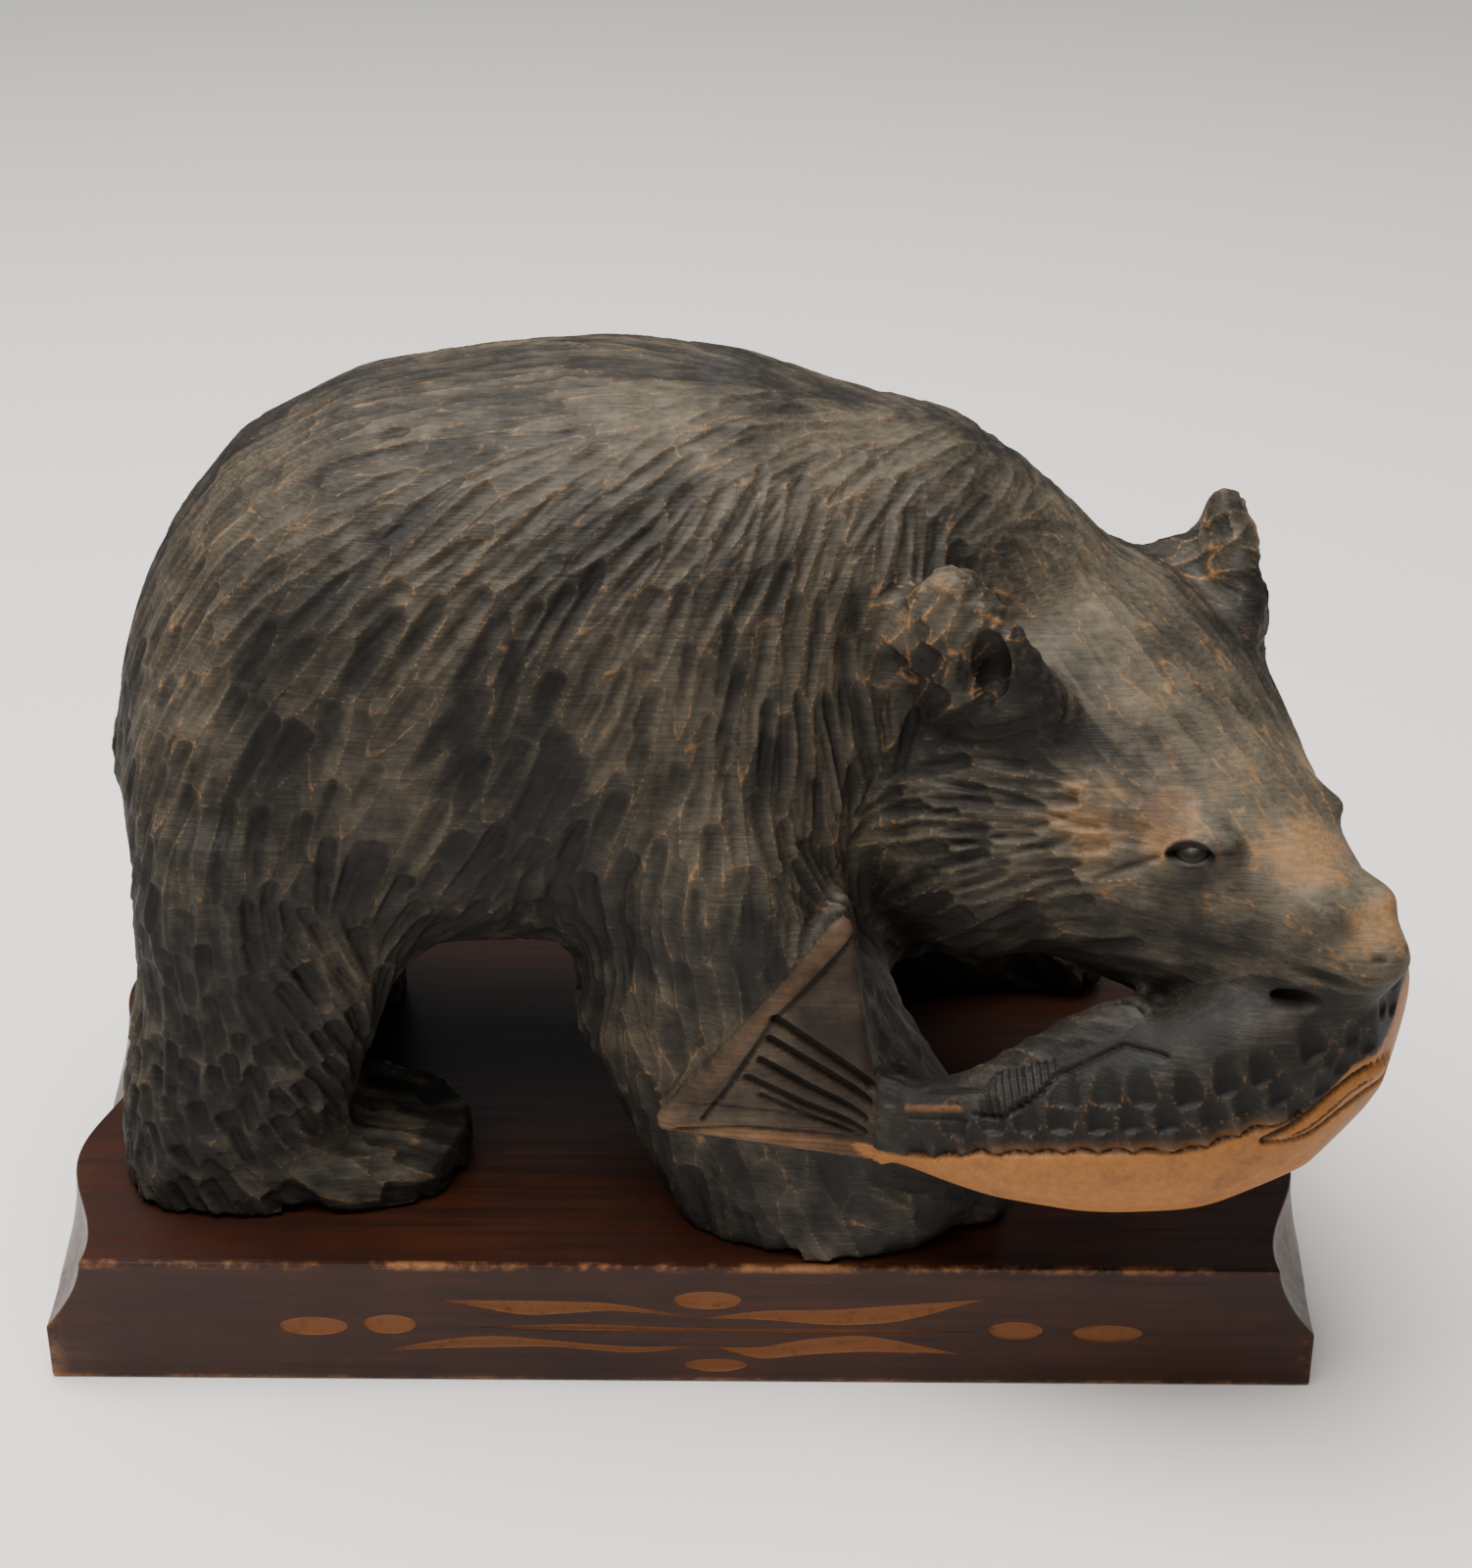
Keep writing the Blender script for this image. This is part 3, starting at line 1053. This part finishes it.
def plinth_finish(board):
    """Dark mahogany stain with worn arrises, and pale wood in the chip carving."""
    material, nodes, links = new_material("mahogany_finish")
    shader = nodes["Principled BSDF"]
    place = nodes.new("ShaderNodeTexCoord").outputs["Object"]
    chip = attribute(nodes, "chip")

    def add(a, b):
        return maths(nodes, links, "ADD", a, b)

    def times(a, b):
        return maths(nodes, links, "MULTIPLY", a, b)

    grain = noise(nodes, links, stretch(nodes, links, place, (16, 420, 420)), 1.0, 5, 0.6)
    broad = noise(nodes, links, place, 26, 4, 0.6)
    fleck = noise(nodes, links, place, 330, 4, 0.65)
    colour = mix(nodes, links, ramp(nodes, links, broad, 0.32, 0.66), board.stain,
                 (0.040, 0.0120, 0.0056, 1.0))
    colour = mix(nodes, links, ramp(nodes, links, grain, 0.40, 0.72), colour,
                 (0.016, 0.006, 0.004, 1.0))
    axes = nodes.new("ShaderNodeSeparateXYZ")
    links.new(place, axes.inputs["Vector"])
    x, y, z = axes.outputs
    front = ramp(nodes, links, y, -board.depth / 2 + 0.0022, -board.depth / 2 + 0.0004)
    top = ramp(nodes, links, z, board.height - 0.0022, board.height - 0.0004)
    end = ramp(nodes, links, maths(nodes, links, "ABSOLUTE", x, 0.0),
               board.length / 2 - 0.006, board.length / 2 - 0.001)
    low = ramp(nodes, links, z, 0.0016, 0.0002)
    arris = add(add(times(front, top), times(times(end, front), 0.6)), times(low, front))
    worn = times(arris, ramp(nodes, links, add(broad, times(fleck, 0.6)), 0.72, 0.98))
    colour = mix(nodes, links, worn, colour, (0.22, 0.095, 0.036, 1.0))
    middle = ramp(nodes, links, maths(nodes, links, "ABSOLUTE", add(x, 0.052), 0.0), 0.055, 0.020)
    sooty = times(times(middle, ramp(nodes, links, y, -0.030, 0.012)),
                  times(ramp(nodes, links, y, 0.062, 0.035), 0.85))
    colour = mix(nodes, links, sooty, colour, (0.0030, 0.0016, 0.0012, 1.0))
    bare = mix(nodes, links, ramp(nodes, links, grain, 0.3, 0.75), board.bare,
               (0.15, 0.055, 0.018, 1.0))
    bare = mix(nodes, links, ramp(nodes, links, fleck, 0.52, 0.72, 0.0, 0.6), bare,
               (0.060, 0.024, 0.012, 1.0))
    colour = mix(nodes, links, chip, colour, bare)
    links.new(colour, shader.inputs["Base Color"])
    rough = add(ramp(nodes, links, grain, 0.2, 0.8, 0.32, 0.44), times(chip, 0.2))
    links.new(rough, shader.inputs["Roughness"])
    bump = nodes.new("ShaderNodeBump")
    bump.inputs["Strength"].default_value = 0.22
    bump.inputs["Distance"].default_value = 0.0003
    links.new(add(grain, times(fleck, 0.4)), bump.inputs["Height"])
    links.new(bump.outputs["Normal"], shader.inputs["Normal"])
    shader.inputs["Specular IOR Level"].default_value = 0.20
    return material


def floor_finish():
    material, nodes, links = new_material("pale_floor")
    shader = nodes["Principled BSDF"]
    place = nodes.new("ShaderNodeTexCoord").outputs["Object"]
    axes = nodes.new("ShaderNodeSeparateXYZ")
    links.new(place, axes.inputs["Vector"])
    far = ramp(nodes, links, axes.outputs["Y"], 0.25, 1.5)
    links.new(mix(nodes, links, far, (0.88, 0.86, 0.835, 1.0), (0.60, 0.60, 0.60, 1.0)),
              shader.inputs["Base Color"])
    shader.inputs["Roughness"].default_value = 0.8
    shader.inputs["Specular IOR Level"].default_value = 0.2
    return material


# Plinth

def board_block(board):
    """A board cut from a box, its ends drawn out to a straight band and a waved cove."""
    deselect_all()
    bpy.ops.mesh.primitive_cube_add(size=1.0, location=(0, 0, 0))
    thing = bpy.context.object
    thing.name = thing.data.name = "plinth_board"
    bpy.ops.object.mode_set(mode="EDIT")
    bpy.ops.mesh.select_all(action="SELECT")
    bpy.ops.transform.resize(value=(board.length, board.depth, board.height))
    bpy.ops.transform.translate(value=(0, 0, board.height / 2))
    levels = [board.band + (board.height - board.band) * k / 12 for k in range(12)]
    for z in levels:
        bpy.ops.mesh.select_all(action="SELECT")
        bpy.ops.mesh.bisect(plane_co=(0, 0, z), plane_no=(0, 0, 1))
    for k in range(1, 72):
        bpy.ops.mesh.select_all(action="SELECT")
        bpy.ops.mesh.bisect(plane_co=(0, board.depth * (k / 72 - 0.5), 0), plane_no=(0, 1, 0))
    bpy.ops.object.mode_set(mode="OBJECT")
    for vertex in thing.data.vertices:
        x, y, z = vertex.co
        wave = math.cos(2 * math.pi * y / (board.depth * 0.46))
        low_x = board.length / 2 - 0.0010 * (1 + wave) / 2
        top_x = board.length / 2 - 0.0068 - 0.0042 * wave
        t = max(0.0, (z - board.band) / (board.height - board.band))
        vertex.co.x = math.copysign(low_x + (top_x - low_x) * (1 - (1 - t) ** 1.7), x)
    thing.data.update()
    return thing


def chip_cutter(board):
    """One shallow boat-shaped cutter for each chip, set across the front face."""
    shapes = []
    for x, z, half_length, half_height in CHIP_OVALS:
        shapes.append((np.array([-1, 0, 1]) * half_length + x, np.full(3, z), half_height))
    for leaf in CHIP_LEAVES:
        table = np.array(leaf)
        shapes.append((table[:, 0], (table[:, 1] + table[:, 2]) / 2,
                       (table[:, 2] - table[:, 1]) / 2))
    cutters = []
    for run, middle, half in shapes:
        deselect_all()
        bpy.ops.mesh.primitive_uv_sphere_add(segments=20, ring_count=32, radius=1.0)
        cutter = bpy.context.object
        even = np.linspace(run[0], run[-1], 65)
        centre = np.interp(even, run, middle)
        if np.ndim(half):
            wide = np.interp(even, run, half)
            for _ in range(24):
                centre[1:-1] = (centre[:-2] + 2 * centre[1:-1] + centre[2:]) / 4
                wide[1:-1] = (wide[:-2] + 2 * wide[1:-1] + wide[2:]) / 4
        else:
            wide = half * np.sqrt(np.maximum(1 - np.linspace(-1, 1, 65) ** 2, 0))
        for vertex in cutter.data.vertices:
            share = (1 + vertex.co.z) / 2
            around = math.hypot(vertex.co.x, vertex.co.y) or 1.0
            x = run[0] + (run[-1] - run[0]) * share
            size = float(np.interp(x, even, wide))
            z = float(np.interp(x, even, centre)) + size * vertex.co.x / around
            depth = board.chip * (size / wide.max()) ** 0.6 * vertex.co.y / around
            vertex.co = (x * MM, -board.depth / 2 - 0.00003 + depth, z * MM)
        cutters.append(cutter)
    deselect_all()
    for cutter in cutters:
        cutter.select_set(True)
    bpy.context.view_layer.objects.active = cutters[0]
    bpy.ops.object.join()
    bpy.ops.object.mode_set(mode="EDIT")
    bpy.ops.mesh.select_all(action="SELECT")
    bpy.ops.mesh.remove_doubles(threshold=0.000001)
    bpy.ops.mesh.normals_make_consistent(inside=False)
    bpy.ops.object.mode_set(mode="OBJECT")
    return bpy.context.object


class CARVEDBEAR_OT_plinth(CarvingOperator, bpy.types.Operator):
    """Shape the plinth, ease its edges and cut the chip carving"""

    bl_idname = "carvedbear.plinth"
    bl_label = "Make Plinth"

    def execute(self, context):
        board = context.scene.bear_plinth
        thing = board_block(board)
        apply_modifier(thing, "BEVEL", width=0.0006, segments=3, limit_method="ANGLE",
                       angle_limit=math.radians(35))
        cutter = chip_cutter(board)
        apply_modifier(thing, "BOOLEAN", operation="DIFFERENCE", solver="EXACT", object=cutter)
        bpy.data.objects.remove(cutter, do_unlink=True)
        mesh = thing.data
        front = -board.depth / 2
        layer = mesh.attributes.new("chip", "FLOAT", "FACE")
        chips = 0
        for polygon in mesh.polygons:
            c = polygon.center
            cut = front + 0.00002 < c.y < front + 0.004 and 0.001 < c.z < 0.030
            cut = cut and abs(c.x) < 0.12 and polygon.normal.y < -0.3
            layer.data[polygon.index].value = 1.0 if cut else 0.0
            chips += cut
        if len(mesh.polygons) < 1000 or chips < 500:
            raise RuntimeError("the chip carving wasn't cut in the plinth")
        print("plinth", len(mesh.polygons), chips)
        mesh.materials.clear()
        mesh.materials.append(plinth_finish(board))
        select_only(thing)
        bpy.ops.object.shade_smooth_by_angle(angle=math.radians(28))
        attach(thing, "root")
        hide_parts(BOARD)
        return {"FINISHED"}


class CARVEDBEAR_OT_stage(CarvingOperator, bpy.types.Operator):
    """Set the pale floor, soft light and camera"""

    bl_idname = "carvedbear.stage"
    bl_label = "Set Stage"

    def execute(self, context):
        deselect_all()
        bpy.ops.mesh.primitive_plane_add(size=8.0, location=(0, 0, -0.0002))
        floor = context.object
        floor.name = "floor"
        floor.data.materials.append(floor_finish())
        world = bpy.data.worlds.new("soft_daylight")
        world.use_nodes = True
        world.node_tree.nodes["Background"].inputs["Color"].default_value = (1.0, 0.985, 0.96, 1)
        world.node_tree.nodes["Background"].inputs["Strength"].default_value = 0.34
        context.scene.world = world
        for name, place, size, energy in (
            ("ceiling", (-0.20, -0.02, 1.15), 1.0, 33.0),
            ("window", (-0.5, -1.3, 1.0), 1.0, 3.0),
        ):
            bpy.ops.object.light_add(type="AREA", location=place)
            lamp = context.object
            lamp.name = name
            lamp.data.size = size
            lamp.data.energy = energy
            lamp.data.color = (1.0, 0.975, 0.94)
            aim = Vector((0, 0, 0.08)) - Vector(place)
            lamp.rotation_euler = aim.to_track_quat("-Z", "Y").to_euler()
        bpy.ops.object.camera_add()
        camera = context.object
        camera.name = "photo_camera"
        c, s = math.cos(CAMERA_DOWN), math.sin(CAMERA_DOWN)
        ahead = Vector((math.sin(CAMERA_YAW) * c, math.cos(CAMERA_YAW) * c, -s))
        right = Vector((math.cos(CAMERA_YAW), -math.sin(CAMERA_YAW), 0))
        up = right.cross(ahead)
        roll_c, roll_s = math.cos(CAMERA_ROLL), math.sin(CAMERA_ROLL)
        turned = Matrix((right * roll_c + up * roll_s, up * roll_c - right * roll_s, -ahead))
        camera.rotation_euler = turned.transposed().to_euler()
        camera.location = CAMERA_PLACE
        camera.data.sensor_fit = "VERTICAL"
        camera.data.sensor_height = 36.0
        camera.data.lens = FOCAL_PIXELS * 36.0 / IMAGE_HEIGHT
        camera.data.clip_end = 20.0
        context.scene.camera = camera
        return {"FINISHED"}


class CARVEDBEAR_PT_panel(bpy.types.Panel):
    """Lists the steps of the carving"""

    bl_label = "Carved Bear"
    bl_idname = "CARVEDBEAR_PT_panel"
    bl_space_type = "VIEW_3D"
    bl_region_type = "UI"
    bl_category = "Carved Bear"

    def draw(self, context):
        layout = self.layout
        for group in (context.scene.bear_carving, context.scene.bear_stains,
                      context.scene.bear_plinth):
            for name in group.__annotations__:
                layout.prop(group, name)
        for step in STEPS:
            layout.operator(step.bl_idname)


STEPS = (CARVEDBEAR_OT_stage, CARVEDBEAR_OT_plinth, CARVEDBEAR_OT_skin)
CLASSES = (CarvingSettings, CarvingStains, PlinthSettings) + STEPS + (CARVEDBEAR_PT_panel,)


def register():
    for entry in CLASSES:
        bpy.utils.register_class(entry)
    bpy.types.Scene.bear_carving = PointerProperty(type=CarvingSettings)
    bpy.types.Scene.bear_stains = PointerProperty(type=CarvingStains)
    bpy.types.Scene.bear_plinth = PointerProperty(type=PlinthSettings)


def unregister():
    for name in ("bear_carving", "bear_stains", "bear_plinth"):
        delattr(bpy.types.Scene, name)
    for entry in reversed(CLASSES):
        bpy.utils.unregister_class(entry)


def main():
    register()
    bpy.ops.carvedbear.stage()
    bpy.ops.carvedbear.plinth()
    bpy.ops.carvedbear.skin()
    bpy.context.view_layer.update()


if __name__ == "__main__":
    main()
